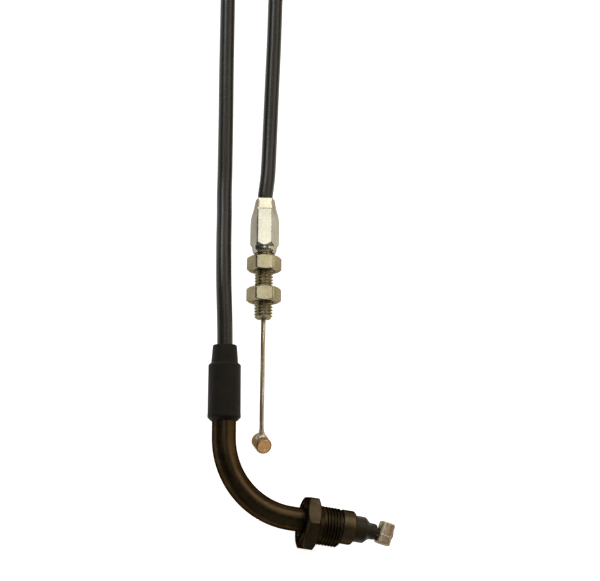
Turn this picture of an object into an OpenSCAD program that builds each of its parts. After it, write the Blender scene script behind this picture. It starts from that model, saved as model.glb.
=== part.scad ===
// Motorcycle throttle cable. A bent steel guide tube with a swivelling union screw takes the
// twist-grip end, and a threaded adjuster with two lock nuts takes the carburettor end.
// Units are millimetres. The origin is on the union thread's axis, where the hexagon's front
// face meets the thread. +Z is up from the surface that the cable lies on, and +Y runs along
// the straight leg of the guide tube towards the casing.

/* [Inner wire] */
// Radius of the stranded inner wire
wire_r = 0.75; // [0.6:0.05:0.85]
// Travel of the wire between closed and open throttle
wire_travel = 26; // [10:1:27]

/* [Casing] */
// Outer radius of the plastic jacket
jacket_r = 2.5; // [2.4:0.05:2.5]
// Outer radius of the flat-wound steel armour
armour_r = 1.9; // [1.7:0.05:2.1]
// Outer radius of the plastic liner in the armour
liner_r = 1.3; // [1.2:0.05:1.3]
// Bore radius of that liner
liner_bore_r = 0.95; // [0.9:0.05:1.1]

/* [Guide tube] */
// Outer radius of the bent steel tube
tube_r = 3.8; // [3.8:0.1:3.9]
// Bore radius of the tube
tube_bore_r = 2.6; // [2.2:0.1:2.7]
// Bend radius of the tube's centre line
bend_r = 25; // [23:0.5:25]
// Angle between the union's axis and +X
nose_angle = 8.4; // [6:0.1:10]
// Distance from the leg's axis to the origin, along X
leg_offset = 30; // [30:0.5:32]
// Height in Y of the tube's mouth, where the casing goes in
tube_mouth_y = 46; // [45:0.5:46.5]

/* [Union screw] */
// Width across the flats of the hexagon
union_af = 16; // [15.5:0.5:17]
// Thickness of the hexagon
union_hex_h = 4.3; // [4:0.1:4.8]
// Plain shoulder between the hexagon and the seat
union_shoulder = 0.6; // [0.4:0.1:0.8]
// Thread's outer radius
union_thread_r = 6; // [5.5:0.5:6]
// Thread's length from the seat
union_thread_l = 7.4; // [7:0.1:7.6]
// Turn of the hexagon about its axis
union_turn = 2; // [0:0.5:30]
// Slack across the tube: the union hangs this much below the tube's axis
union_slack = 0.7; // [0.5:0.1:0.7]

/* [Nose] */
// Radius of the collar on the tube's end
collar_r = 5.35; // [5.3:0.05:5.5]
// Distance from the seat to the collar's front face
collar_end = 11.8; // [11.5:0.1:12.5]
// Radius of the nose cap's body
nose_r = 4.15; // [4:0.05:4.5]
// Distance from the seat to the end of the nose cap's body
nose_step = 16.8; // [16:0.1:17.5]
// Radius of the nose cap's tip
tip_r = 2.65; // [2:0.05:3]
// Distance from the seat to the nose cap's tip
tip_end = 19.6; // [19:0.1:19.6]

/* [Nipples] */
// Radius of the barrel nipple at the grip end
grip_nipple_r = 2.6; // [2.4:0.05:2.6]
// Length of that barrel
grip_nipple_l = 7; // [6:0.5:8]
// Distance from the seat to that barrel's axis
grip_nipple_s = 22.6; // [22.6:0.1:23.4]
// Radius of the barrel nipple at the carburettor end
carb_nipple_r = 2.6; // [2.2:0.05:2.6]
// Length of that barrel
carb_nipple_l = 6; // [5:0.5:6]

/* [Boot] */
// Outer radius of the rubber boot
boot_r = 5.2; // [5.2:0.05:5.6]
/* [Adjuster] */
// Width across the flats of the adjuster's hexagon
adjuster_af = 8.3; // [8:0.1:8.5]
// Length of the adjuster from the thread's end to the crimped top
adjuster_l = 40; // [39:0.5:41]
// Thread's outer radius
adjuster_thread_r = 3; // [2.8:0.1:3]
// Length of the thread
adjuster_thread_l = 21.6; // [21.6:0.1:22]
// Angle between the adjuster's axis and +Y
adjuster_lean = 0.6; // [0:0.2:1]

/* [Lock nuts] */
// Width across the flats
nut_af = 10; // [9:0.5:10]
// Thickness
nut_h = 4.8; // [4.6:0.1:5]
// Thread left below the lower nut
lower_nut_s = 5.5; // [5.5:0.1:6]
// Distance from the thread's end to the upper nut
upper_nut_s = 15.8; // [15.6:0.1:16]

/* [Hidden] */
$fn = 64;
$fa = 3;

floor_z = -9.7;
running_gap = 0.06;
bend_thinning = 0.02;
cut = 1;

// The guide tube's bend joins the leg to the nose's axis.
bend_angle = 90 - nose_angle;
bend_end_x = -leg_offset + bend_r * (1 - cos(bend_angle));
bend_y = union_slack - bend_end_x * tan(nose_angle) + bend_r * sin(bend_angle);
bend_end_s = bend_end_x / cos(nose_angle);
wire_tail_s = bend_end_s + 0.5;

// Stations along the leg.
ferrule_wall = 1;
ferrule_y = tube_mouth_y - 11.8;
ferrule_flange_h = 1.4;
ferrule_r = 3;
boot_y = 31.9;
boot_step_y = 50;
boot_top_y = 56;
casing_exit_y = 56;
boot_gap = 0.1;

// The adjuster's thread ends here, on its axis.
thread_end = [-16.6, 65.8, -4.33];
socket_s = 27;
relief_l = 0.9;
relief_lead = 0.2;
relief_depth = 0.3;
nut_turn = -8.3;
adjuster_turn = -13.3;

// Below the adjuster the wire runs straight, dips on a short bend and enters its nipple.
dip_start = 35.6;
dip_angle = 26;
dip_turn = -15;
dip_r = 4;
dip_end = 3;
carb_nipple_turn = -18;

// Stored length of casing: a ring of turns outside the object, held by a tie.
coil_centre = [2, 238];
coil_inner_r = 23.5;
coil_outer_r = 36.5;
coil_h = 10;
coil_lift = 0.6;
tie_spread = 8;
tie_at = [60, 240];

// Route of the casing from the boot to the coil.
route_grip = [
    [-30, 56, 0], [-30.1, 62, 0], [-30.3, 68, 0], [-30.5, 76, -0.5], [-30.4, 84, -1.7],
    [-30.1, 92, -3.5], [-29.7, 100, -5.3], [-29.5, 108, -6.7], [-29.3, 116, -7.2],
    [-29.2, 136, -7.2], [-29.2, 150, -7.2], [-29.1, 166, -7.2], [-29, 182, -7.2],
    [-29, 198, -7.1], [-29, 212, -6.8], [-29, 226, -6.6]
];
// Route of the casing from the coil down to the adjuster's top.
adjuster_axis = [sin(adjuster_lean), cos(adjuster_lean), 0];
socket_gap = 0.05;
route_carb = [
    [8.3, 204, -6.6], [1.8, 201.9, -6.7], [-3.9, 198, -6.9], [-8.2, 193, -7.1],
    [-11.1, 187, -7.2], [-12.2, 180, -7.2], [-12.5, 172, -7.2], [-12.8, 162, -7.2],
    [-13.2, 152, -7.2], [-13.6, 142, -7.2], [-13.96, 133, -7.1], [-14.31, 126, -6.7],
    [-14.71, 120, -5.9], [-15.2, 114.5, -5], [-15.75, 110.3, -4.5],
    thread_end + (adjuster_l + 1.5) * adjuster_axis,
    thread_end + (adjuster_l + socket_gap) * adjuster_axis
];
cord_sides = 10;

// Placement: +Z of the children runs out along the union's axis, along the tube's nose,
// up the leg or up the adjuster.
module on_union(s = 0) {
    rotate([0, 0, -nose_angle]) rotate([0, 90, 0]) translate([0, 0, s]) children();
}

module on_nose(s = 0) {
    translate([0, union_slack, 0]) on_union(s) children();
}

module on_leg(y = 0) {
    translate([-leg_offset, 0, 0]) rotate([-90, 0, 0]) translate([0, 0, y]) children();
}

module on_adjuster(s = 0) {
    translate(thread_end) rotate([0, 0, -adjuster_lean]) rotate([-90, 0, 0])
        translate([0, 0, s]) children();
}

// The dipped end of the carburettor wire: the children's +Z runs on along the wire.
module on_dip(l = 0) {
    on_adjuster(-dip_start) rotate([0, 0, dip_turn]) translate([0, dip_r, 0])
        rotate([dip_angle, 0, 0]) translate([0, -dip_r, -l]) rotate([180, 0, 0]) children();
}

// A round bar that follows the guide tube from distance s_end on the nose to y_top on the leg.
// The bend is a hair thinner than the straight lengths, as a bent tube is, and laps into them.
module bent_bar(r, s_end, y_top) {
    lap = 0.3;
    on_nose(bend_end_s) cylinder(r = r, h = s_end - bend_end_s);
    on_leg(bend_y) cylinder(r = r, h = y_top - bend_y);
    translate([bend_r - leg_offset, bend_y, 0]) rotate([0, 0, 180 - lap])
        rotate_extrude(angle = bend_angle + 2 * lap) translate([bend_r, 0])
            circle(r = r - bend_thinning);
}

module ring(r_out, r_in, l) {
    difference() {
        cylinder(r = r_out, h = l);
        translate([0, 0, -cut]) cylinder(r = r_in, h = l + 2 * cut);
    }
}

// A hexagonal prism with both rims turned to a chamfer: c_low and c_high are the chamfers'
// widths at the corners, and steepness is their angle.
module turned_hex(af, h, c_low, c_high, steepness) {
    corner = af / sqrt(3);
    slope = tan(steepness);
    intersection() {
        cylinder(r = corner, h = h, $fn = 6);
        rotate_extrude() polygon([
            [0, 0], [corner - c_low, 0], [corner, c_low * slope], [corner + cut, c_low * slope],
            [corner + cut, h - c_high * slope], [corner, h - c_high * slope],
            [corner - c_high, h], [0, h]
        ]);
    }
}

// A barrel with chamfered rims, centred on the origin, its axis along Z.
module barrel(r, l, c) {
    rotate_extrude() polygon([
        [0, -l / 2], [r - c, -l / 2], [r, c - l / 2], [r, l / 2 - c], [r - c, l / 2], [0, l / 2]
    ]);
}

// Grip end ------------------------------------------------------------------------------

module union_screw() {
    thread_chamfer = 0.6;
    hex_back = -union_shoulder - union_hex_h;
    union_bore_r = tube_r + union_slack + running_gap;
    color("#1d1a16") difference() {
        union() {
            on_union(hex_back) rotate([0, 0, union_turn])
                turned_hex(union_af, union_hex_h, 1.3, 1.3, 30);
            on_union() rotate_extrude() polygon([
                [0, -cut], [union_thread_r, -cut], [union_thread_r, union_thread_l - thread_chamfer],
                [union_thread_r - thread_chamfer, union_thread_l], [0, union_thread_l]
            ]);
        }
        on_union(hex_back - cut)
            cylinder(r = union_bore_r, h = union_thread_l - hex_back + 2 * cut);
    }
}

module guide_tube() {
    color("#1b1712") difference() {
        bent_bar(tube_r, collar_end, tube_mouth_y);
        bent_bar(tube_bore_r, collar_end + cut, tube_mouth_y + cut);
        on_leg(ferrule_y - 0.2) cylinder(r = ferrule_r + 0.05, h = 20);
    }
}

module tube_end_collar() {
    color("#241e17") on_nose(union_thread_l + 0.15)
        ring(collar_r, tube_r, collar_end - union_thread_l - 0.15);
}

module nose_cap() {
    spigot_r = tube_bore_r - 0.1;
    spigot_s = 6;
    color("#141414") on_nose() difference() {
        rotate_extrude() polygon([
            [0, spigot_s], [spigot_r, spigot_s], [spigot_r, collar_end], [nose_r, collar_end],
            [nose_r, nose_step - 1.2], [tip_r + 0.3, nose_step], [tip_r, nose_step],
            [tip_r, tip_end - 0.4], [tip_r - 0.4, tip_end], [0, tip_end]
        ]);
        cylinder(r = wire_r + 0.2, h = tip_end + cut);
    }
}

module guide_tube_liner() {
    bore_r = 1.1;
    nose_gap = 5.8;
    color("white") difference() {
        bent_bar(tube_bore_r - 0.05, nose_gap, ferrule_y - 0.3);
        bent_bar(bore_r, nose_gap + cut, ferrule_y + cut);
    }
}

module inner_wire_middle() {
    color("silver") bent_bar(wire_r, bend_end_s + 0.2, casing_exit_y);
}

module inner_wire_grip() {
    color("silver") on_nose(wire_tail_s)
        cylinder(r = wire_r, h = grip_nipple_s + grip_nipple_r - 0.2 - wire_tail_s);
}

// The solder cup is a cone cut into the far side of a nipple. Its axis is the wire's.
module solder_cup(nipple_r) {
    cup_depth = 1.3;
    cup_r = 1.6;
    rotate_extrude() polygon([
        [0, nipple_r - cup_depth], [wire_r, nipple_r - cup_depth], [cup_r, nipple_r - 0.3],
        [cup_r, nipple_r + cut], [0, nipple_r + cut]
    ]);
}

module soldered_barrel(r, l) {
    difference() {
        rotate([90, 0, 0]) barrel(r, l, 0.3);
        translate([0, 0, -2 * r]) cylinder(r = wire_r + 0.03, h = 4 * r);
        solder_cup(r);
    }
}

module solder_fill(r) {
    difference() {
        intersection() {
            solder_cup(r);
            cylinder(r = 2, h = r - 0.35);
        }
        cylinder(r = wire_r, h = 2 * r);
    }
}

module grip_nipple() {
    color("#8f7f6b") on_nose(grip_nipple_s) soldered_barrel(grip_nipple_r, grip_nipple_l);
}

module grip_nipple_solder() {
    color("#9a9a96") on_nose(grip_nipple_s) solder_fill(grip_nipple_r);
}

// Where the casing joins the guide tube ---------------------------------------------------

module casing_ferrule() {
    color("#77736b") on_leg() difference() {
        union() {
            translate([0, 0, ferrule_y]) cylinder(r = ferrule_r, h = tube_mouth_y - ferrule_y);
            translate([0, 0, tube_mouth_y]) cylinder(r = tube_r - 0.05, h = ferrule_flange_h);
        }
        translate([0, 0, ferrule_y + ferrule_wall]) cylinder(r = jacket_r, h = 20);
        translate([0, 0, ferrule_y - cut]) cylinder(r = liner_r, h = 20);
    }
}

module casing_layer(r_out, r_in, from, to) {
    translate([0, 0, from]) ring(r_out, r_in, to - from);
}

module jacket_end_grip() {
    color("#161614") on_leg()
        casing_layer(jacket_r, armour_r, ferrule_y + ferrule_wall, casing_exit_y);
}

module armour_end_grip() {
    color("#8b8c8c") on_leg()
        casing_layer(armour_r, liner_r, ferrule_y + ferrule_wall, casing_exit_y);
}

module liner_end_grip() {
    color("white") on_leg() casing_layer(liner_r, liner_bore_r, ferrule_y, casing_exit_y);
}

module rubber_boot() {
    lip_r = boot_r + 0.1;
    grip_r = tube_r + boot_gap;
    neck_r = jacket_r + boot_gap;
    color("#141312") on_leg() rotate_extrude() polygon([
        [grip_r, boot_y], [lip_r - 1.1, boot_y], [lip_r, boot_y + 1.2], [boot_r, boot_y + 2.6],
        [boot_r, boot_step_y - 0.5], [boot_r - 0.5, boot_step_y], [4.3, boot_step_y],
        [3.8, boot_top_y - 0.3], [3.5, boot_top_y], [neck_r, boot_top_y],
        [neck_r, boot_step_y], [grip_r, boot_step_y - 1.6]
    ]);
}

// Free casing ----------------------------------------------------------------------------

function unit(v) = v / norm(v);
function heading(path, i) =
    unit(path[min(i + 1, len(path) - 1)] - path[max(i - 1, 0)]);
function ring_points(path, i, r) =
    let (ahead = heading(path, i), side = unit(cross(ahead, [0, 0, 1])), up = cross(side, ahead))
    [for (k = [0:cord_sides - 1]) let (a = 360 * k / cord_sides)
        path[i] + r * (cos(a) * side + sin(a) * up)];

// One closed tube through the points of a route.
module cord_tube(path, r) {
    n = cord_sides;
    last = (len(path) - 1) * n;
    walls = [for (i = [0:len(path) - 2], k = [0:n - 1])
        let (a = i * n + k, b = i * n + (k + 1) % n) [a, a + n, b + n, b]];
    caps = [[for (k = [0:n - 1]) k], [for (k = [n - 1:-1:0]) last + k]];
    polyhedron([for (i = [0:len(path) - 1]) each ring_points(path, i, r)], concat(walls, caps));
}

// A rectangle from (x0, y0) to (x1, y1) with round corners of radius r.
module rounded(x0, y0, x1, y1, r) {
    translate([x0 + r, y0]) square([x1 - x0 - 2 * r, y1 - y0]);
    translate([x0, y0 + r]) square([x1 - x0, y1 - y0 - 2 * r]);
    for (x = [x0 + r, x1 - r], y = [y0 + r, y1 - r]) translate([x, y]) circle(r = r);
}

module casing_run_grip() {
    color("#161614") cord_tube(route_grip, jacket_r);
}

module casing_run_carb() {
    color("#161614") cord_tube(route_carb, jacket_r);
}

module casing_coil() {
    color("#161614") translate([coil_centre.x, coil_centre.y, floor_z + coil_lift])
        rotate_extrude() rounded(coil_inner_r, 0, coil_outer_r, coil_h, jacket_r);
}

module coil_ties() {
    t = coil_lift;
    color("#2b2b2b") translate([coil_centre.x, coil_centre.y, floor_z + coil_lift])
        for (at = tie_at) rotate([0, 0, at - tie_spread / 2])
            rotate_extrude(angle = tie_spread) difference() {
                rounded(coil_inner_r - t, -t, coil_outer_r + t, coil_h + t, jacket_r + t);
                rounded(coil_inner_r, 0, coil_outer_r, coil_h, jacket_r);
            }
}

// Carburettor end ------------------------------------------------------------------------

module adjuster_screw() {
    corner = adjuster_af / sqrt(3);
    hex_low = adjuster_thread_l + 4.4;
    hex_high = adjuster_l - 9;
    end_chamfer = 0.7;
    relief_r = adjuster_thread_r - relief_depth;
    free_l = lower_nut_s - relief_lead;
    relief_s = free_l + relief_l;
    color("#b9b9a6") on_adjuster() difference() {
        union() {
            rotate_extrude() polygon([
                [0, 0], [adjuster_thread_r - end_chamfer, 0], [adjuster_thread_r, end_chamfer],
                [adjuster_thread_r, free_l], [relief_r, free_l], [relief_r, relief_s],
                [adjuster_thread_r, relief_s], [adjuster_thread_r, adjuster_thread_l + cut],
                [0, adjuster_thread_l + cut]
            ]);
            intersection() {
                rotate([0, 0, adjuster_turn]) translate([0, 0, adjuster_thread_l])
                    cylinder(r = corner, h = adjuster_l - adjuster_thread_l, $fn = 6);
                rotate_extrude() polygon([
                    [0, adjuster_thread_l], [3.5, adjuster_thread_l],
                    [4.1, adjuster_thread_l + 1], [4.3, adjuster_thread_l + 2],
                    [corner, hex_low], [corner + cut, hex_low],
                    [corner + cut, hex_high], [corner, hex_high], [4.6, hex_high + 3],
                    [4.4, hex_high + 5], [3.7, hex_high + 7], [2.8, adjuster_l], [0, adjuster_l]
                ]);
            }
        }
        translate([0, 0, -cut]) cylinder(r = liner_r + 0.05, h = adjuster_l);
        translate([0, 0, socket_s]) cylinder(r = jacket_r, h = adjuster_l);
    }
}

module jacket_end_carb() {
    color("#161614") on_adjuster() casing_layer(jacket_r, armour_r, socket_s, adjuster_l);
}

module armour_end_carb() {
    color("#8b8c8c") on_adjuster() casing_layer(armour_r, liner_r, socket_s, adjuster_l);
}

module liner_end_carb() {
    color("white") on_adjuster() casing_layer(liner_r, liner_bore_r, 0.8, adjuster_l);
}

module lock_nut(s) {
    color("#8d8a70") on_adjuster(s) rotate([0, 0, nut_turn]) difference() {
        turned_hex(nut_af, nut_h, 0.9, 0.9, 30);
        translate([0, 0, -cut])
            cylinder(r = adjuster_thread_r + running_gap, h = nut_h + 2 * cut);
    }
}

module inner_wire_carb() {
    wire_top_s = adjuster_l - 1 - wire_travel;
    color("silver") {
        on_adjuster(-dip_start) cylinder(r = wire_r, h = dip_start + wire_top_s);
        on_adjuster(-dip_start) rotate([0, 0, dip_turn]) translate([0, dip_r, 0])
            rotate([0, 90, 0]) rotate([0, 0, -90]) rotate_extrude(angle = dip_angle)
                translate([dip_r, 0]) circle(r = wire_r);
        on_dip() cylinder(r = wire_r, h = dip_end + carb_nipple_r - 0.2);
    }
}

module carb_nipple() {
    color("#8a6648") on_dip(dip_end) rotate([0, 0, carb_nipple_turn])
        soldered_barrel(carb_nipple_r, carb_nipple_l);
}

module carb_nipple_solder() {
    color("#9a9a96") on_dip(dip_end) solder_fill(carb_nipple_r);
}

union_screw();
guide_tube();
tube_end_collar();
nose_cap();
guide_tube_liner();
inner_wire_middle();
inner_wire_grip();
grip_nipple();
grip_nipple_solder();
casing_ferrule();
jacket_end_grip();
armour_end_grip();
liner_end_grip();
rubber_boot();
casing_run_grip();
casing_coil();
coil_ties();
casing_run_carb();
adjuster_screw();
jacket_end_carb();
armour_end_carb();
liner_end_carb();
lock_nut(upper_nut_s);  // upper_lock_nut
lock_nut(lower_nut_s);  // lower_lock_nut
inner_wire_carb();
carb_nipple();
carb_nipple_solder();
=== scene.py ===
"""Throttle cable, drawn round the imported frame. Lengths in the code are millimetres; MM turns
them into metres. s is a distance along a fitting's own axis."""
import math

import bmesh
import bpy
from mathutils import Matrix, Vector


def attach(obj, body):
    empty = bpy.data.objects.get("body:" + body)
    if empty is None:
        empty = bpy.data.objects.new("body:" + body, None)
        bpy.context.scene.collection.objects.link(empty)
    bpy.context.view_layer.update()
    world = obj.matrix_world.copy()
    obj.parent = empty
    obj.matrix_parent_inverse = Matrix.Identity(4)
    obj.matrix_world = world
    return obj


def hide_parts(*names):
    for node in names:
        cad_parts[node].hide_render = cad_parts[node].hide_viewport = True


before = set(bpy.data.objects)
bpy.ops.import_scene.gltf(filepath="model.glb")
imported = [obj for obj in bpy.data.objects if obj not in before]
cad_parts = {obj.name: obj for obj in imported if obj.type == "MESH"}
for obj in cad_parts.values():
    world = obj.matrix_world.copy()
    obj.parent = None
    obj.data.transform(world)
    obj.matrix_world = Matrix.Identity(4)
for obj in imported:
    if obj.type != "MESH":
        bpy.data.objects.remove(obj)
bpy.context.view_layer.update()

MM = 0.001
TURN = 2 * math.pi

# ---------------------------------------------------------------- the frame's dimensions
FLOOR_Z = -9.7
NOSE_ANGLE = math.radians(8.4)
LEG_X = -30.0
BEND_R = 25.0
TUBE_R, TUBE_BORE_R = 3.8, 2.6
UNION_SLACK = 0.7
TUBE_MOUTH_Y = 46.0
WIRE_R = 0.75
JACKET_R = 2.5
THREAD_END = Vector((-16.6, 65.8, -4.33))
LEAN = math.radians(0.6)
ADJUSTER_L = 40.0
LOWER_NUT_S, UPPER_NUT_S, NUT_H = 5.5, 15.8, 4.8


def placed(origin, x, z):
    """The placement of a fitting: its own x and z axes, and y to match."""
    x, z = Vector(x).normalized(), Vector(z).normalized()
    y = z.cross(x)
    m = Matrix((x, y, z)).transposed().to_4x4()
    m.translation = Vector(origin)
    return m


NOSE_AXIS = Vector((math.cos(NOSE_ANGLE), -math.sin(NOSE_ANGLE), 0))
ADJUSTER_AXIS = Vector((math.sin(LEAN), math.cos(LEAN), 0))
UNION = placed((0, 0, 0), (0, 0, -1), NOSE_AXIS)
NOSE = placed((0, UNION_SLACK, 0), (0, 0, -1), NOSE_AXIS)
LEG = placed((LEG_X, 0, 0), (1, 0, 0), (0, 1, 0))
ADJUSTER = placed(THREAD_END, (math.cos(LEAN), -math.sin(LEAN), 0), ADJUSTER_AXIS)


def along(place, s):
    return place @ Matrix.Translation((0, 0, s))


# ---------------------------------------------------------------- camera, floor and lights
def camera():
    """It looks down on the floor, a little from the left and from the near end."""
    tilt_x, tilt_y = math.radians(14), math.radians(12)
    aim, distance, lens = Vector((-4.21, 76.0, -4.8)), 430, 78.4
    back = Vector((-math.tan(tilt_x), -math.tan(tilt_y), 1)).normalized()
    right = Vector((back.z, 0, -back.x)).normalized()
    up = back.cross(right)
    m = Matrix((right, up, back)).transposed().to_4x4()
    m.translation = (aim + distance * back) * MM
    data = bpy.data.cameras.new("camera")
    data.sensor_width = 36
    data.lens = lens
    data.clip_start = 0.01
    ob = bpy.data.objects.new("camera", data)
    ob.matrix_world = m
    bpy.context.collection.objects.link(ob)
    bpy.context.scene.camera = ob


def floor():
    n, side, below = 24, 3.0, 0.02
    row = n + 1
    verts = [((i / n - 0.5) * side, (j / n - 0.5) * side, (FLOOR_Z - below) * MM)
             for j in range(row) for i in range(row)]
    corners = [j * row + i for j in range(n) for i in range(n)]
    faces = [(c, c + 1, c + row + 1, c + row) for c in corners]
    data = bpy.data.meshes.new("floor")
    data.from_pydata(verts, [], faces)
    ob = bpy.data.objects.new("floor", data)
    bpy.context.collection.objects.link(ob)
    mat = bpy.data.materials.new("floor_paper")
    mat.use_nodes = True
    shader = mat.node_tree.nodes["Principled BSDF"]
    shader.inputs["Base Color"].default_value = (0.5, 0.5, 0.5, 1)
    shader.inputs["Emission Color"].default_value = (1.0, 0.995, 0.985, 1)
    shader.inputs["Emission Strength"].default_value = 0.90
    shader.inputs["Roughness"].default_value = 0.8
    shader.inputs["Specular IOR Level"].default_value = 0.2
    data.materials.append(mat)


# Name, place, the point it faces, width and height, watts and colour. "front" is what the flats
# of the adjuster and the nuts mirror, and "glint" what the nipple's sawn face does.
LIGHTS = (
    ("front", (-0.12, 0.235, 0.60), (-0.02, 0.07, 0), (0.28, 0.25), 0.70, (1.0, 0.985, 0.93)),
    ("overhead", (0.12, 0.86, 0.54), (0, 0.02, 0), (0.85, 0.42), 4.4, (1.0, 0.95, 0.85)),
    ("strip", (-0.42, 0.52, 0.42), (-0.02, 0.14, 0), (0.22, 0.26), 2.4, (0.97, 1.0, 1.0)),
    ("window", (0.46, 0.38, 0.62), (0, 0.04, 0), (0.60, 0.52), 2.9, (1.0, 0.90, 0.76)),
    ("low", (0.55, 0.10, 0.16), (0, 0.06, 0), (0.25, 0.50), 0.7, (1.0, 0.74, 0.50)),
    ("glint", (0.224, -0.441, 0.457), (-0.017, 0.025, 0), (0.16, 0.16), 0.048, (1.0, 0.95, 0.88)),
    ("fill", (0.13, -0.52, 0.50), (-0.01, 0.03, 0), (1.30, 0.90), 1.30, (1.0, 0.95, 0.80)),
    ("side", (-0.52, -0.22, 0.15), (-0.02, 0.07, 0), (0.34, 0.22), 0.09, (1.0, 0.96, 0.80)),
)


def area_light(name, where, aim, size, power, colour):
    data = bpy.data.lights.new(name, "AREA")
    data.shape = "RECTANGLE"
    data.size, data.size_y = size
    data.energy = power
    data.color = colour
    ob = bpy.data.objects.new(name, data)
    ob.location = where
    ob.rotation_euler = (Vector(aim) - Vector(where)).to_track_quat("-Z", "Y").to_euler()
    bpy.context.collection.objects.link(ob)


def studio():
    world = bpy.data.worlds.new("studio")
    world.use_nodes = True
    sky = world.node_tree.nodes["Background"]
    sky.inputs["Color"].default_value = (1.0, 0.97, 0.92, 1)
    sky.inputs["Strength"].default_value = 0.05
    bpy.context.scene.world = world
    bpy.context.scene.view_settings.view_transform = "Standard"
    for light in LIGHTS:
        area_light(*light)


# ---------------------------------------------------------------- mesh helpers
def solid(name, verts, faces, slot, bodies, stands_for, material, uvs=None, sharp=32, place=None):
    """One piece of the object, riding on its body, in metres."""
    data = bpy.data.meshes.new(name)
    place = place or Matrix.Identity(4)
    data.from_pydata([(place @ Vector(v)) * MM for v in verts], [], faces)
    if uvs:
        layer = data.uv_layers.new(name="run")
        for loop in data.loops:
            layer.data[loop.index].uv = uvs[loop.vertex_index]
    bm = bmesh.new()
    bm.from_mesh(data)
    bmesh.ops.recalc_face_normals(bm, faces=bm.faces)
    bm.to_mesh(data)
    bm.free()
    data.shade_smooth()
    data.set_sharp_from_angle(angle=math.radians(sharp))
    ob = bpy.data.objects.new(name, data)
    bpy.context.collection.objects.link(ob)
    data.materials.append(material)
    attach(ob, bodies)
    if stands_for:
        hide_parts(*stands_for)
    return ob


def skin(rows, loop=False, caps=False):
    """Faces between rows of points, each row a closed ring. Returns verts and faces."""
    n = len(rows[0])
    verts = [p for row in rows for p in row]
    faces = []
    last = len(rows) if loop else len(rows) - 1
    for i in range(last):
        a, b = i * n, ((i + 1) % len(rows)) * n
        faces += [(a + k, a + (k + 1) % n, b + (k + 1) % n, b + k) for k in range(n)]
    if caps:
        for row in (0, len(rows) - 1):
            mid = len(verts)
            ring = [row * n + k for k in range(n)]
            verts.append(tuple(sum(rows[row][k][c] for k in range(n)) / n for c in range(3)))
            faces += [(ring[k], ring[(k + 1) % n], mid) for k in range(n)]
    return verts, faces


def merged(*parts):
    verts, faces = [], []
    for v, f in parts:
        faces += [tuple(i + len(verts) for i in face) for face in f]
        verts += v
    return verts, faces


def softened(profile, steps=4):
    """A closed profile of (r, s, rounding) with each corner rounded by that much."""
    out = []
    for i, (r, s, soft) in enumerate(profile):
        here = Vector((r, s))
        if not soft:
            out.append((r, s))
            continue
        before = Vector(profile[i - 1][:2])
        after = Vector(profile[(i + 1) % len(profile)][:2])
        a = here + (before - here).normalized() * soft
        b = here + (after - here).normalized() * soft
        for k in range(steps + 1):
            t = k / steps
            p = a * (1 - t) ** 2 + here * 2 * t * (1 - t) + b * t ** 2
            out.append((p.x, p.y))
    return out


def ring(r, s, sides):
    """The points of a circle about the axis."""
    return [(r * math.cos(TURN * k / sides), r * math.sin(TURN * k / sides), s)
            for k in range(sides)]


def lathe(profile, sides=96):
    """A closed profile of (r, s) turned about the axis."""
    return skin([ring(r, s, sides) for r, s in profile], loop=True)


def polar(stations, angles):
    """Like lathe, but each station may give its (r, s) by the angle."""
    rows = []
    for station in stations:
        row = []
        for a in angles:
            r, s = station(a) if callable(station) else station
            row.append((r * math.cos(a), r * math.sin(a), s))
        rows.append(row)
    return skin(rows, loop=True)


def hexagon(af, turn, blunt):
    """(radius by angle, the angles to draw it at) of a hexagon whose corners are blunted."""
    corner = af / math.sqrt(3) - blunt
    sixth = math.pi / 3
    edge = math.pi / 6 - math.acos(af / 2 / corner)

    def radius(a):
        d = (a - turn) % sixth
        return min(corner, af / 2 / math.cos(d - sixth / 2))

    offsets = [0, edge / 2, edge] + [edge + (sixth - 2 * edge) * k / 14 for k in range(1, 14)]
    offsets += [sixth - edge, sixth - edge / 2]
    return radius, [turn + sixth * k + o for k in range(6) for o in offsets]


def thread_radius(a, s, pitch, major, depth):
    """A right-hand thread's radius at an angle and a distance along the axis."""
    phase = (s / pitch - a / TURN) % 1.0
    v = abs(phase - 0.5) * 2
    crest, root = 0.8, 0.2
    t = min(1.0, max(0.0, (crest - v) / (crest - root)))
    t = t * t * (3 - 2 * t) * 0.35 + t * 0.65
    return major - depth * t


def catmull(points, step):
    """A smooth line through the points, as points that far apart."""
    pts = [Vector(p) for p in points]
    pts = [2 * pts[0] - pts[1]] + pts + [2 * pts[-1] - pts[-2]]
    fine = []
    for i in range(1, len(pts) - 2):
        p0, p1, p2, p3 = pts[i - 1:i + 3]
        count = max(2, int((p2 - p1).length / step * 4))
        for k in range(count):
            t = k / count
            fine.append(0.5 * (2 * p1 + (p2 - p0) * t + (2 * p0 - 5 * p1 + 4 * p2 - p3) * t * t
                               + (3 * p1 - p0 - 3 * p2 + p3) * t ** 3))
    fine.append(pts[-2])
    return evenly(fine, step)


def evenly(fine, step):
    run = [0.0]
    for a, b in zip(fine, fine[1:]):
        run.append(run[-1] + (b - a).length)
    count = max(2, round(run[-1] / step))
    out, j = [], 0
    for i in range(count + 1):
        want = run[-1] * i / count
        while j < len(run) - 2 and run[j + 1] < want:
            j += 1
        t = (want - run[j]) / max(1e-9, run[j + 1] - run[j])
        out.append(fine[j].lerp(fine[j + 1], min(1, t)))
    return out


def frames(path):
    """The heading and a side direction that never twists, at each point of a path."""
    ahead = [(path[min(i + 1, len(path) - 1)] - path[max(i - 1, 0)]).normalized()
             for i in range(len(path))]
    side = Vector((0, 0, 1)).cross(ahead[0])
    if side.length < 0.1:
        side = Vector((1, 0, 0)).cross(ahead[0])
    side.normalize()
    out = []
    for d in ahead:
        side = (side - d * side.dot(d)).normalized()
        out.append((d, side, d.cross(side)))
    return out


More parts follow.
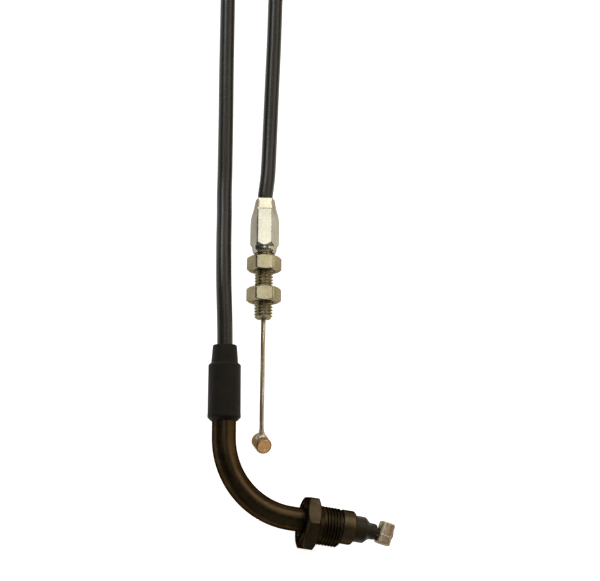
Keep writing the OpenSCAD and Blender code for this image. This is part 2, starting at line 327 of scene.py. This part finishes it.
def tube(path, radius, sides, caps=True):
    """A round bar along a path, with the run along it and the turn round it as UVs."""
    rows, uvs, run = [], [], 0.0
    for i, (p, (_, side, up)) in enumerate(zip(path, frames(path))):
        run += (p - path[i - 1]).length if i else 0
        r = radius(i / (len(path) - 1)) if callable(radius) else radius
        rows.append([tuple(p + r * (math.cos(TURN * k / sides) * side
                                    + math.sin(TURN * k / sides) * up)) for k in range(sides)])
        uvs += [(run * 0.01, k / sides) for k in range(sides)]
    verts, faces = skin(rows, caps=caps)
    uvs += [(0, 0)] * (len(verts) - len(uvs))
    return verts, faces, uvs


def strand(path, r, count, lay, thick=None, sides=7):
    """Wires laid helically round a core, along a path. The path's points are evenly spaced."""
    wire = thick or r * math.sin(math.pi / count) / (1 + math.sin(math.pi / count))
    turnings = frames(path)
    run = [0.0]
    for a, b in zip(path, path[1:]):
        run.append(run[-1] + (b - a).length)
    parts = [tube(path, r - 1.6 * wire, 12)[:2]]
    for w in range(count):
        helix = []
        for p, (_, side, up), s in zip(path, turnings, run):
            a = TURN * (w / count + s / lay)
            helix.append(p + (r - wire) * (math.cos(a) * side + math.sin(a) * up))
        parts.append(tube(helix, wire * 1.03, sides)[:2])
    return merged(*parts)


# ---------------------------------------------------------------- materials
class Nodes:
    """A material under construction: its shader, and noises in object space at a size in mm."""

    def __init__(self, name):
        self.mat = bpy.data.materials.new(name)
        self.mat.use_nodes = True
        self.tree = self.mat.node_tree
        self.shader = self.tree.nodes["Principled BSDF"]
        self.space = self.add("ShaderNodeTexCoord").outputs["Object"]

    def add(self, kind, **settings):
        node = self.tree.nodes.new(kind)
        for key, value in settings.items():
            setattr(node, key, value)
        return node

    def link(self, a, b):
        self.tree.links.new(a, b)

    def noise(self, size_mm, detail=3, rough=0.55, vector=None, stretch=None):
        node = self.add("ShaderNodeTexNoise")
        node.inputs["Scale"].default_value = 1 / (size_mm * MM)
        node.inputs["Detail"].default_value = detail
        node.inputs["Roughness"].default_value = rough
        vector = vector or self.space
        if stretch:
            mapping = self.add("ShaderNodeMapping")
            mapping.inputs["Scale"].default_value = stretch
            self.link(vector, mapping.inputs["Vector"])
            vector = mapping.outputs["Vector"]
        self.link(vector, node.inputs["Vector"])
        return node.outputs["Fac"]

    def spread(self, value, low, high, to_low=0.0, to_high=1.0):
        node = self.add("ShaderNodeMapRange")
        for key, v in (("From Min", low), ("From Max", high),
                       ("To Min", to_low), ("To Max", to_high)):
            node.inputs[key].default_value = v
        self.link(value, node.inputs["Value"])
        return node.outputs["Result"]

    def math(self, what, a, b):
        node = self.add("ShaderNodeMath", operation=what)
        for value, socket in ((a, node.inputs[0]), (b, node.inputs[1])):
            if isinstance(value, (int, float)):
                socket.default_value = value
            else:
                self.link(value, socket)
        return node.outputs[0]

    def blend(self, factor, a, b):
        node = self.add("ShaderNodeMix", data_type="RGBA")
        self.link(factor, node.inputs["Factor"])
        for value, socket in ((a, node.inputs["A"]), (b, node.inputs["B"])):
            if isinstance(value, tuple):
                socket.default_value = (*value, 1)
            else:
                self.link(value, socket)
        return node.outputs["Result"]

    def colour(self, out):
        self.link(out, self.shader.inputs["Base Color"])

    def rough(self, value, low, high):
        self.link(self.spread(value, 0.3, 0.7, low, high), self.shader.inputs["Roughness"])

    def bump(self, height, depth_mm, strength=1.0, after=None):
        node = self.add("ShaderNodeBump")
        node.inputs["Distance"].default_value = depth_mm * MM
        node.inputs["Strength"].default_value = strength
        self.link(height, node.inputs["Height"])
        if after:
            self.link(after, node.inputs["Normal"])
        self.link(node.outputs["Normal"], self.shader.inputs["Normal"])
        return node.outputs["Normal"]

    def down_axis(self, place):
        """The distance in metres along a fitting's own axis."""
        node = self.add("ShaderNodeVectorMath", operation="DOT_PRODUCT")
        self.link(self.space, node.inputs[0])
        node.inputs[1].default_value = place.to_3x3() @ Vector((0, 0, 1))
        return node.outputs["Value"]


def metal(name, dark, light, rough, grain=1.2, pits=0.012, rings=None, worn=None,
          edge=(0.45, 0.40, 0.34)):
    """A metal with blotches in its tone, fine pits and, on a turned part, tool rings."""
    m = Nodes(name)
    m.shader.inputs["Metallic"].default_value = 1.0
    m.shader.inputs["Specular Tint"].default_value = (*edge, 1)
    blotch = m.noise(grain * 3, 4)
    speck = m.noise(grain * 0.35, 3)
    tone = m.math("ADD", m.math("MULTIPLY", blotch, 0.65), m.math("MULTIPLY", speck, 0.35))
    colour = m.blend(m.spread(tone, 0.36, 0.66), dark, light)
    if worn:
        rub = m.spread(m.noise(grain * 1.7, 5, 0.7), 0.6, 0.72)
        colour = m.blend(rub, colour, worn)
    m.colour(colour)
    m.rough(speck, rough * 0.82, rough * 1.25)
    first = m.bump(m.noise(0.22, 4, 0.6), pits)
    if rings:
        cut = m.add("ShaderNodeTexNoise", noise_dimensions="1D")
        cut.inputs["Scale"].default_value = 1 / (0.16 * MM)
        cut.inputs["Detail"].default_value = 2
        m.link(m.down_axis(rings), cut.inputs["W"])
        m.bump(cut.outputs["Fac"], 0.008, 0.8, after=first)
    return m.mat


def polymer(name, dark, light, rough, pits=0.01, grain=1.0, level=0.5):
    """A moulded plastic or rubber: near-even colour, fine grain, uneven gloss."""
    m = Nodes(name)
    m.shader.inputs["Specular IOR Level"].default_value = level
    cloud = m.noise(grain * 4, 3)
    fine = m.noise(grain * 0.3, 4, 0.65)
    m.colour(m.blend(m.spread(m.math("MULTIPLY", m.math("ADD", cloud, fine), 0.5), 0.38, 0.62),
                     dark, light))
    m.rough(cloud, rough * 0.88, rough * 1.15)
    m.bump(fine, pits)
    return m.mat


def casing_skin():
    """Satin PVC drawn over a flat-wound steel spiral, whose turns show through as faint ribs."""
    m = Nodes("casing_skin")
    uv = m.add("ShaderNodeUVMap", uv_map="run").outputs["UV"]
    split = m.add("ShaderNodeSeparateXYZ")
    m.link(uv, split.inputs["Vector"])
    cloud = m.noise(6, 3)
    fine = m.noise(0.5, 4, 0.6)
    m.colour(m.blend(m.spread(m.math("MULTIPLY", m.math("ADD", cloud, fine), 0.5), 0.38, 0.62),
                     (0.005, 0.0045, 0.003), (0.012, 0.0095, 0.007)))
    m.rough(fine, 0.28, 0.38)
    helix = m.math("ADD", m.math("MULTIPLY", split.outputs["X"], 100 / 0.9), split.outputs["Y"])
    ribs = m.math("SINE", m.math("MULTIPLY", helix, TURN), 0.0)
    first = m.bump(ribs, 0.02, 0.5)
    m.bump(fine, 0.012, 0.6, after=first)
    m.shader.inputs["Specular IOR Level"].default_value = 0.25
    return m.mat


# ---------------------------------------------------------------- free casing and its coil
COIL_CENTRE = Vector((2, 238, 0))
COIL_LIFT = 0.6
COIL_SWEEP = 970
TIE_AT = (60, 240)
ROUTE_GRIP = [
    (-30, 56, 0), (-30.1, 62, 0), (-30.3, 68, 0), (-30.5, 76, -0.5), (-30.4, 84, -1.7),
    (-30.1, 92, -3.5), (-29.7, 100, -5.3), (-29.5, 108, -6.7), (-29.3, 116, -7.2),
    (-29.2, 136, -7.2), (-29.2, 150, -7.2), (-29.1, 166, -7.2), (-29, 182, -7.2),
    (-29, 198, -7.1), (-29, 212, -6.8), (-29, 226, -6.6)]
ROUTE_CARB = [
    (8.3, 204, -6.6), (1.8, 201.9, -6.7), (-3.9, 198, -6.9), (-8.2, 193, -7.1),
    (-11.1, 187, -7.2), (-12.2, 180, -7.2), (-12.5, 172, -7.2), (-12.8, 162, -7.2),
    (-13.2, 152, -7.2), (-13.6, 142, -7.2), (-13.96, 133, -7.1), (-14.31, 126, -6.7),
    (-14.71, 120, -5.9), (-15.2, 114.5, -5), (-15.75, 110.3, -4.5),
    tuple(THREAD_END + (ADJUSTER_L + 1.5) * ADJUSTER_AXIS),
    tuple(THREAD_END + (ADJUSTER_L + 0.05) * ADJUSTER_AXIS)]


def coil_point(t):
    """The casing's centre in the coil, t degrees round it: in, up, out and down again."""
    def eased(x):
        x = max(0.0, min(1.0, x))
        return x * x * (3 - 2 * x)
    r = 31 - 5 * t / 360 if t <= 360 else 26 + 5 * (t - 360) / 360
    z = FLOOR_Z + COIL_LIFT + JACKET_R + 2 * JACKET_R * (eased((t - 330) / 100)
                                                        - eased((t - 800) / 180))
    a = math.radians(t)
    return Vector((COIL_CENTRE.x - r * math.cos(a), COIL_CENTRE.y + r * math.sin(a), z))


def free_casing():
    turns = [tuple(coil_point(t)) for t in range(0, COIL_SWEEP, 12)]
    points = ROUTE_GRIP + turns + ROUTE_CARB
    path = catmull(points, 1.4)
    verts, faces, uvs = tube(path, JACKET_R, 24)
    ob = solid("casing", verts, faces, "jacket_plastic", "casing",
               ("casing_run_grip", "casing_coil", "casing_run_carb"), casing_skin(), uvs)


camera()
floor()
studio()
free_casing()


# ---------------------------------------------------------------- coil ties
def hull(points):
    """The outline that a strap takes when it is drawn tight round the points."""
    points = sorted(points)

    def half(pts):
        out = []
        for p in pts:
            while len(out) > 1 and ((out[-1][0] - out[-2][0]) * (p[1] - out[-2][1])
                                    - (out[-1][1] - out[-2][1]) * (p[0] - out[-2][0])) <= 0:
                out.pop()
            out.append(p)
        return out[:-1]
    return half(points) + half(points[::-1])


def tie(at):
    """A narrow nylon strap drawn round the turns, with its head and a cropped tail."""
    a = math.radians(at)
    out_dir = Vector((math.cos(a), math.sin(a), 0))
    round_dir = Vector((-math.sin(a), math.cos(a), 0))
    up_dir = Vector((0, 0, 1))
    turns = [t for t in range(180 - at, COIL_SWEEP, 360) if t >= 0]
    dots = []
    for t in turns:
        p = coil_point(t)
        r = (p - COIL_CENTRE).xy.length
        dots += [(r + x, p.z + y) for x, y, _ in ring(JACKET_R + 0.02, 0, 48)]
    line = [Vector((x, y, 0)) for x, y in hull(dots)]
    line = evenly(line + [line[0]], 0.7)[:-1]
    centre = sum(line, Vector()) / len(line)
    thick, half = 0.5, 1.3
    rows = []
    for i, p in enumerate(line):
        flow = (line[(i + 1) % len(line)] - line[i - 1]).normalized()
        n = Vector((flow.y, -flow.x, 0))
        if n.dot(p - centre) < 0:
            n = -n
        row = []
        for across, up in ((-half, 0), (-half, thick * 0.7), (-half * 0.85, thick),
                           (half * 0.85, thick), (half, thick * 0.7), (half, 0)):
            q = p + n * up
            row.append(tuple(COIL_CENTRE + out_dir * q.x + round_dir * across + up_dir * q.y))
        rows.append(row)
    strap = skin(rows, loop=True)
    top = max(line, key=lambda p: p.y + 0.15 * p.x)
    seat = COIL_CENTRE + out_dir * top.x + up_dir * (top.y + thick * 0.5)
    head = block(placed(seat, round_dir, up_dir), (3.9, 4.2, 2.6), 0.45)
    slot_rim = block(placed(seat + up_dir * 2.5, round_dir, up_dir), (2.6, 1.6, 0.5), 0.15)
    tail_to = out_dir * 0.62 + up_dir * 0.78
    tail_size = (2 * half * 0.96, 0.55, 5.2)
    tail = block(placed(seat + tail_to * 1.2, round_dir, tail_to), tail_size, 0.2)
    return merged(strap, head, slot_rim, tail)


def block(place, size, soft):
    """A box with rounded edges that stands on its own origin."""
    bm = bmesh.new()
    bmesh.ops.create_cube(bm, size=1)
    for v in bm.verts:
        v.co = Vector((v.co.x * size[0], v.co.y * size[1], (v.co.z + 0.5) * size[2]))
    bmesh.ops.bevel(bm, geom=bm.edges[:], offset=soft, segments=3, affect="EDGES", profile=0.5)
    verts = [tuple(place @ v.co) for v in bm.verts]
    faces = [tuple(v.index for v in f.verts) for f in bm.faces]
    bm.free()
    return verts, faces


TIE_NYLON = polymer("tie_nylon", (0.012, 0.012, 0.012), (0.026, 0.026, 0.026), 0.5, 0.006)
verts, faces = merged(*[tie(at) for at in TIE_AT])
solid("ties", verts, faces, "tie_plastic", "casing", ("coil_ties",), TIE_NYLON)


# ---------------------------------------------------------------- union screw
UNION_STEEL = metal("union_steel", (0.022, 0.017, 0.010), (0.042, 0.032, 0.019), 0.38,
                    worn=(0.066, 0.050, 0.032), rings=NOSE, edge=(0.20, 0.16, 0.12))
COLLAR_STEEL = metal("collar_steel", (0.040, 0.030, 0.017), (0.066, 0.050, 0.029), 0.42,
                     worn=(0.11, 0.085, 0.055), rings=NOSE, edge=(0.20, 0.16, 0.12))


def union():
    """The hexagon with its chamfered ends, and the screw in front of it."""
    bore, shank = TUBE_R + UNION_SLACK + 0.06, 6.08
    back, face = -4.9, -0.6
    radius, angles = hexagon(16, math.radians(2), 0.10)
    flat, rise = 7.85, math.tan(math.radians(30))

    def rim(s, way, drop):
        return lambda a: (radius(a) - drop, s + way * max(0, radius(a) - flat) * rise)

    stations = [
        (bore, back + 0.3), (bore + 0.3, back), (flat - 0.12, back), (flat, back + 0.03),
        rim(back + 0.02, 1, 0.10), rim(back + 0.14, 1, 0), rim(back + 0.20, 1, 0),
        rim(face - 0.20, -1, 0), rim(face - 0.14, -1, 0), rim(face - 0.02, -1, 0.10),
        (flat, face - 0.03), (flat - 0.12, face),
        (shank - 0.4, face), (shank - 0.4, face - 0.5), (bore, face - 0.5)]
    verts, faces = polar(stations, angles)
    solid("union_hexagon", verts, faces, "black_oxide", "union", ("union_screw",), UNION_STEEL,
          sharp=50, place=UNION)

    pitch, depth, end, start = 1.0, 0.60, 7.4, 1.0
    sides = 144

    def screw(s):
        def at(a):
            r = thread_radius(a, s, pitch, shank, depth)
            runs_in = min(1.0, max(0.0, (s - start) / 0.5))
            r = shank - (shank - r) * runs_in
            return min(r, shank - max(0, s - (end - 0.7)) * 0.9), s
        return at
    count = int((end - start) / (pitch / 18))
    stations = [(bore, face - 0.4), (shank + 0.12, face - 0.4), (shank + 0.12, -0.35),
                (shank, -0.2), (shank, start)]
    stations += [screw(start + (end - start) * k / count) for k in range(1, count + 1)]
    stations += [(bore + 0.2, end), (bore, end - 0.2)]
    verts, faces = polar(stations, [TURN * k / sides for k in range(sides)])
    solid("union_thread", verts, faces, "black_oxide", "union", ("union_screw",), UNION_STEEL,
          sharp=80, place=UNION)


union()


# ---------------------------------------------------------------- guide tube and what is on it
TUBE_STEEL = metal("tube_steel", (0.025, 0.0175, 0.0095), (0.044, 0.030, 0.016), 0.34, grain=2.2,
                   pits=0.006, worn=(0.058, 0.040, 0.023), edge=(0.28, 0.22, 0.16))


def tube_line(nose_s, leg_y, step=1.2):
    """The guide tube's centre line, from a distance on the nose to a height on the leg."""
    bend = math.pi / 2 - NOSE_ANGLE
    end_x = LEG_X + BEND_R * (1 - math.cos(bend))
    bend_y = UNION_SLACK - end_x * math.tan(NOSE_ANGLE) + BEND_R * math.sin(bend)
    centre = Vector((LEG_X + BEND_R, bend_y, 0))
    fine = [NOSE @ Vector((0, 0, nose_s))]
    fine += [centre + BEND_R * Vector((-math.cos(bend * k / 60), -math.sin(bend * k / 60), 0))
             for k in range(60, -1, -1)]
    fine.append(Vector((LEG_X, leg_y, 0)))
    return evenly(fine, step)


def guide_tube():
    path = tube_line(11.75, TUBE_MOUTH_Y)
    turned = frames(path)
    rows = []
    for r, order in ((TUBE_R, range(len(path))), (TUBE_BORE_R, range(len(path) - 1, -1, -1))):
        for i in order:
            _, side, up = turned[i]
            rows.append([tuple(path[i] + r * (math.cos(TURN * k / 64) * side
                                              + math.sin(TURN * k / 64) * up)) for k in range(64)])
    verts, faces = skin(rows, loop=True)
    solid("guide_tube_bent", verts, faces, "tube_black", "casing", ("guide_tube",), TUBE_STEEL)

    profile = softened([(TUBE_R, 7.6, 0), (5.2, 7.6, 0.1), (5.35, 7.8, 0.12), (5.35, 11.3, 0.15),
                        (4.95, 11.8, 0.12), (TUBE_R, 11.8, 0)])
    verts, faces = lathe(profile)
    solid("swaged_collar", verts, faces, "tube_black", "casing", ("tube_end_collar",), COLLAR_STEEL,
          place=NOSE)


guide_tube()

NOSE_PLASTIC = polymer("nose_plastic", (0.010, 0.0085, 0.004), (0.019, 0.016, 0.008), 0.42, 0.006,
                       level=0.1)


def nose():
    bore = WIRE_R + 0.2
    profile = softened([
        (bore, 6, 0), (2.5, 6, 0.2), (2.5, 11.75, 0), (4.0, 11.81, 0.1), (4.15, 12.1, 0.15),
        (4.15, 15.5, 0.35), (3.0, 16.75, 0.4), (2.62, 17.4, 0.3), (2.55, 19.1, 0.25),
        (2.25, 19.6, 0.15), (bore + 0.15, 19.6, 0.1), (bore, 19.4, 0)])
    verts, faces = lathe(profile, 72)
    solid("nose_tip", verts, faces, "nose_plastic", "casing", ("nose_cap",), NOSE_PLASTIC,
          place=NOSE)


nose()


# ---------------------------------------------------------------- boot
def boot():
    m = Nodes("boot_rubber")
    m.shader.inputs["Specular IOR Level"].default_value = 0.09
    fine, cloud = m.noise(0.25, 4, 0.7), m.noise(3.5, 4)
    m.colour(m.blend(m.spread(m.math("MULTIPLY", m.math("ADD", fine, cloud), 0.5), 0.38, 0.62),
                     (0.004, 0.003, 0.002), (0.011, 0.0085, 0.0055)))
    m.rough(cloud, 0.5, 0.68)
    m.bump(fine, 0.03, 0.8)
    r, lip, grip, neck = 5.2, 5.3, TUBE_R + 0.1, JACKET_R + 0.1
    profile = softened([
        (grip, 32.0, 0.08), (4.2, 31.9, 0.1), (lip, 33.0, 0.3), (lip - 0.02, 33.6, 0.3),
        (r, 34.6, 0.4), (r - 0.04, 49.5, 0.12), (r - 0.45, 50.02, 0.12), (4.36, 50.1, 0.1),
        (4.28, 50.4, 0.12), (3.85, 55.7, 0.2), (3.6, 56, 0.1), (neck + 0.1, 56, 0.08),
        (neck, 55.7, 0), (neck, 50, 0.3), (grip, 48.4, 0.3)])
    verts, faces = lathe(profile, 96)
    solid("boot_moulding", verts, faces, "boot_rubber", "boot", ("rubber_boot",), m.mat,
          place=LEG)


boot()


# ---------------------------------------------------------------- inner wire and nipples
WIRE_STEEL = metal("wire_steel", (0.22, 0.18, 0.13), (0.38, 0.32, 0.24), 0.34, grain=0.6,
                   worn=(0.14, 0.09, 0.05))
SOLDER = metal("solder", (0.30, 0.25, 0.19), (0.50, 0.43, 0.34), 0.42, grain=0.8)
GRIP_ALLOY = metal("grip_alloy", (0.22, 0.18, 0.125), (0.42, 0.35, 0.26), 0.38, grain=0.9,
                   pits=0.03)
CARB_ALLOY = metal("carb_alloy", (0.13, 0.085, 0.05), (0.26, 0.18, 0.12), 0.42, grain=0.8,
                   pits=0.03, worn=(0.34, 0.27, 0.20))
CARB_FACE = metal("carb_face", (0.44, 0.24, 0.10), (0.64, 0.38, 0.18), 0.24, grain=0.7, pits=0.012,
                  worn=(0.70, 0.52, 0.33))


def barrel(r, length, place, name, slot, body, node, material, mouth=1.25, seams=()):
    """A cast barrel nipple across the wire, with rounded rims, a wire hole and parting lines."""
    half, soft, sides, steps = length / 2, 0.45, 120, 40
    seam_high, seam_half = 0.09, 0.16
    quarter = [k * math.pi / 12 for k in range(1, 6)]
    outline = [(r * 0.5, -half), (r - soft, -half)]
    outline += [(r - soft + soft * math.sin(t), -half + soft - soft * math.cos(t)) for t in quarter]
    outline += [(r, -half + soft + (length - 2 * soft) * k / steps) for k in range(steps + 1)]
    outline += [(r - soft + soft * math.cos(t), half - soft + soft * math.sin(t)) for t in quarter]
    outline += [(r - soft, half), (r * 0.5, half)]
    rows = []
    for radius, s in outline:
        row = []
        for k in range(sides):
            a = TURN * k / sides
            grow = 0.0
            for kind, where in seams:
                if kind == "long":
                    gap = abs((a - where + math.pi) % TURN - math.pi) * r
                else:
                    gap = abs(s - where)
                grow = max(grow, seam_high * max(0.0, 1 - gap / seam_half))
            rr = radius + (grow if radius > r - 0.2 else 0)
            row.append((rr * math.cos(a), rr * math.sin(a), s))
        rows.append(row)
    verts, faces = skin(rows, caps=True)
    across = place @ Matrix.Rotation(math.pi / 2, 4, "X")
    ob = solid(name, verts, faces, slot, body, (node,), material, sharp=45, place=across)
    hole = WIRE_R + 0.08
    rows = [ring(q, s, 32) for q, s in (
        (mouth + 0.5, -r - 0.6), (mouth, -r), (hole, -r + 1.1 * mouth - 0.6),
        (hole, r - 1.3), (1.6, r - 0.2), (1.6, r + 0.5))]
    carve(ob, *skin(rows, caps=True), place)
    return ob


def carve(ob, verts, faces, place):
    """Cuts a closed shape out of a piece, for good."""
    data = bpy.data.meshes.new("cutter")
    data.from_pydata([(place @ Vector(v)) * MM for v in verts], [], faces)
    bm = bmesh.new()
    bm.from_mesh(data)
    bmesh.ops.recalc_face_normals(bm, faces=bm.faces)
    bm.to_mesh(data)
    bm.free()
    cutter = bpy.data.objects.new("cutter", data)
    bpy.context.collection.objects.link(cutter)
    cut = ob.modifiers.new("cut", "BOOLEAN")
    cut.operation, cut.solver, cut.object = "DIFFERENCE", "EXACT", cutter
    graph = bpy.context.evaluated_depsgraph_get()
    graph.update()
    done = bpy.data.meshes.new_from_object(ob.evaluated_get(graph))
    ob.modifiers.remove(cut)
    old = ob.data
    ob.data = done
    bpy.data.meshes.remove(old)
    bpy.data.objects.remove(cutter)
    ob.data.shade_smooth()
    ob.data.set_sharp_from_angle(angle=math.radians(35))


def disc_rows(r, low, high, sides=64):
    """The rings of a thin disc with a rounded rim."""
    return [ring(q, s, sides)
            for q, s in ((r, low), (r, high - 0.04), (r - 0.05, high), (r * 0.6, high))]


def cap_of_solder(name, node, place, r, body):
    """The solder that fills the cup at a nipple's far side."""
    rows = [ring(q, s, 32) for q, s in (
        (WIRE_R, r - 1.25), (1.55, r - 0.3), (1.5, r - 0.12), (1.1, r + 0.02), (0.55, r + 0.10))]
    verts, faces = skin(rows, caps=True)
    solid(name, verts, faces, "solder", body, (node,), SOLDER, place=place)


GRIP_NIPPLE_S, NIPPLE_R, GRIP_NIPPLE_L, CARB_NIPPLE_L = 22.6, 2.6, 7, 6


def grip_end():
    path = evenly([along(NOSE, -8.3).translation, along(NOSE, 24.8).translation], 0.5)
    verts, faces = strand(path, WIRE_R, 8, 9)
    solid("grip_strand", verts, faces, "wire_steel", "grip_wire", ("inner_wire_grip",), WIRE_STEEL)
    centre = along(NOSE, GRIP_NIPPLE_S) @ Matrix.Rotation(math.radians(10), 4, "X")
    barrel(NIPPLE_R, GRIP_NIPPLE_L, centre, "grip_barrel", "nipple_alloy", "grip_wire",
           "grip_nipple", GRIP_ALLOY, mouth=2.0,
           seams=(("long", math.radians(200)), ("ring", 0.9)))
    cap_of_solder("grip_solder", "grip_nipple_solder", centre, NIPPLE_R, "grip_wire")


grip_end()

DIP_START, DIP_R, DIP_END = 35.6, 4.0, 3.0
DIP, DIP_TURN = math.radians(26), math.radians(-15)


def dip_place(l):
    """The dipped end of the wire: +z runs on along it, from the end of its bend."""
    m = along(ADJUSTER, -DIP_START) @ Matrix.Rotation(DIP_TURN, 4, "Z")
    m = m @ Matrix.Translation((0, DIP_R, 0)) @ Matrix.Rotation(DIP, 4, "X")
    return m @ Matrix.Translation((0, -DIP_R, -l)) @ Matrix.Rotation(math.pi, 4, "X")


def carb_end():
    """The free wire with its dipped end, and the nipple with a sawn face and a solder neck."""
    bend = along(ADJUSTER, -DIP_START) @ Matrix.Rotation(DIP_TURN, 4, "Z")
    fine = [ADJUSTER @ Vector((0, 0, ADJUSTER_L - 1 - 26))]
    fine += [bend @ Vector((0, DIP_R * (1 - math.cos(DIP * k / 8)), -DIP_R * math.sin(DIP * k / 8)))
             for k in range(9)]
    fine.append(dip_place(DIP_END + 2.3).translation)
    verts, faces = strand(evenly(fine, 0.5), WIRE_R, 8, 9)
    solid("carb_strand", verts, faces, "wire_steel", "carb_wire", ("inner_wire_carb",), WIRE_STEEL)
    centre = dip_place(DIP_END)
    turned = centre @ Matrix.Rotation(math.radians(-18), 4, "Z")
    barrel(NIPPLE_R, CARB_NIPPLE_L, turned, "carb_barrel", "nipple_brass", "carb_wire",
           "carb_nipple", CARB_ALLOY)
    across = turned @ Matrix.Rotation(-math.pi / 2, 4, "X")
    solid("carb_sawn_face", *skin(disc_rows(2.13, 2.91, 3.04), caps=True), "nipple_brass",
          "carb_wire", ("carb_nipple",), CARB_FACE, place=across)
    neck = lathe(softened([
        (WIRE_R - 0.1, -1.4, 0), (2.05, -1.5, 0.1), (1.9, -2.2, 0.3), (1.1, -3.1, 0.5),
        (WIRE_R + 0.05, -4.4, 0.1), (WIRE_R - 0.1, -4.4, 0)]), 48)
    solid("carb_neck", *neck, "nipple_brass", "carb_wire", ("carb_nipple",), SOLDER, place=centre)
    cap_of_solder("carb_solder", "carb_nipple_solder", centre, NIPPLE_R, "carb_wire")


carb_end()


# ---------------------------------------------------------------- adjuster and lock nuts
ZINC = metal("zinc", (0.29, 0.28, 0.23), (0.38, 0.37, 0.31), 0.23, grain=1.6, pits=0.007,
             worn=(0.41, 0.40, 0.34))
NUT_ZINC = metal("nut_zinc", (0.19, 0.165, 0.105), (0.29, 0.26, 0.17), 0.28, grain=1.4,
                 worn=(0.34, 0.30, 0.21))


ADJUSTER_THREAD_L = 21.6


def adjuster():
    """The crimped hexagon with its round collar, and the thread below it."""
    bore, major, pitch, depth, top, sides = 1.35, 3.0, 1.0, 0.56, ADJUSTER_THREAD_L, 96
    radius, angles = hexagon(8.3, math.radians(-13.3), 0.05)
    turned = catmull([
        (top + 0.4, 3.6, 0), (22.3, 3.82, 0), (22.9, 3.98, 0), (23.5, 4.04, 0),
        (23.9, 4.14, 0), (24.4, 4.45, 0), (24.9, 4.74, 0), (26.2, 4.95, 0), (29, 5.0, 0),
        (36, 5.0, 0), (ADJUSTER_L, 5.0, 0)], 0.16)
    out = ADJUSTER.to_3x3().inverted() @ Vector((0, 0, 1))
    first = min(angles, key=radius)    # the middle of a flat
    front = first + TURN / 6 * round((math.atan2(out.y, out.x) - first) / (TURN / 6))

    press_from, press_l, squeeze_from, squeeze_l = 36.2, 3.8, 30, 6
    end_front, end_side, lean_cos, lean_sin = 3.05, 3.0, 0.254, 0.967

    def crimp(a, s):
        """The hexagon is squeezed from both sides, and its end is pressed down on the casing."""
        ahead, aside = abs(math.cos(a - front)), abs(math.sin(a - front))
        beside = max(0, 2 * aside - 1)
        squeeze = 0.18 * beside * max(0, min(1, (s - squeeze_from) / squeeze_l)) ** 3
        pressed = max(0, (s - press_from) / press_l)
        end = min(end_front / max(0.01, ahead), end_side / (lean_cos * ahead + lean_sin * aside))
        return radius(a) * (1 - squeeze) * (1 - pressed) + end * pressed

    stations = [(2.4, top - 0.3), (3.1, top), (3.5, top + 0.12)]
    stations += [lambda a, r=r, s=s: (min(r, crimp(a, s)), s) for s, r, _ in turned]
    stations += [(2.56, ADJUSTER_L), (2.54, ADJUSTER_L - 0.4), (JACKET_R + 0.01, 27), (2.4, 27)]
    verts, faces = polar(stations, angles)
    solid("adjuster_body", verts, faces, "adjuster_zinc", "casing", ("adjuster_screw",), ZINC,
          sharp=50, place=ADJUSTER)

    def screw(s):
        def at(a):
            r = thread_radius(a, s, pitch, major, depth)
            end = major - 0.75 + s * 1.1
            runs_out = min(1.0, max(0.0, (top - 0.3 - s) / 0.6))
            return min(end, major - (major - r) * runs_out), s
        return at
    count = int(top / (pitch / 14))
    stations = [(bore, 0.3), (bore + 0.25, 0)]
    stations += [screw(top * k / count) for k in range(count + 1)]
    stations += [(2.45, top + 0.1), (2.45, top + 0.3), (bore, top + 0.3)]
    verts, faces = polar(stations, [TURN * k / sides for k in range(sides)])
    solid("adjuster_thread", verts, faces, "adjuster_zinc", "casing", ("adjuster_screw",), NUT_ZINC,
          sharp=80, place=ADJUSTER)


def lock_nut(name, node, body, s0):
    """A nut chamfered on both faces. Its ridges stand clear of the thread it slides along."""
    radius, angles = hexagon(10, math.radians(-8.3), 0.10)
    flat, rise, h = 4.85, 0.577, NUT_H
    major, pitch, depth = 3.5, 1.0, 0.46

    def low(extra, drop):
        return lambda a: (radius(a) - drop, max(0, radius(a) - flat) * rise + extra)

    def high(extra, drop):
        return lambda a: (radius(a) - drop, h - max(0, radius(a) - flat) * rise - extra)

    def screw(s):
        return lambda a: (max(thread_radius(a, s + s0, pitch, major, depth),
                              major + 0.2 - 1.2 * min(s, h - s)), s)
    count = int(h / (pitch / 10))
    stations = [
        (3.5, 0), (flat - 0.1, 0), (flat + 0.02, 0.05), low(-0.02, 0.09), low(0.09, 0),
        low(0.15, 0), high(0.15, 0), high(0.09, 0), high(-0.02, 0.09), (flat + 0.02, h - 0.05),
        (flat - 0.1, h), (3.5, h)]
    stations += [screw(h * k / count) for k in range(count, -1, -1)]
    verts, faces = polar(stations, angles)
    solid(name, verts, faces, "steel_nut", body, (node,), NUT_ZINC, sharp=50,
          place=along(ADJUSTER, s0))


adjuster()
lock_nut("nut_upper", "upper_lock_nut", "upper_nut", UPPER_NUT_S)
lock_nut("nut_lower", "lower_lock_nut", "lower_nut", LOWER_NUT_S)


# ---------------------------------------------------------------- parts kept from the frame
LINER = polymer("liner_nylon", (0.62, 0.60, 0.52), (0.78, 0.76, 0.70), 0.45)
ARMOUR = metal("armour_steel", (0.30, 0.30, 0.30), (0.5, 0.5, 0.5), 0.4)
JACKET_END = polymer("jacket_end", (0.011, 0.011, 0.009), (0.024, 0.022, 0.017), 0.3)
FERRULE = metal("ferrule_steel", (0.26, 0.24, 0.2), (0.45, 0.42, 0.36), 0.36)
for node, material in (("guide_tube_liner", LINER), ("liner_end_grip", LINER),
                       ("liner_end_carb", LINER), ("inner_wire_middle", WIRE_STEEL),
                       ("casing_ferrule", FERRULE), ("armour_end_grip", ARMOUR),
                       ("armour_end_carb", ARMOUR), ("jacket_end_grip", JACKET_END),
                       ("jacket_end_carb", JACKET_END)):
    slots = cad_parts[node].data.materials
    slots.clear()
    slots.append(material)
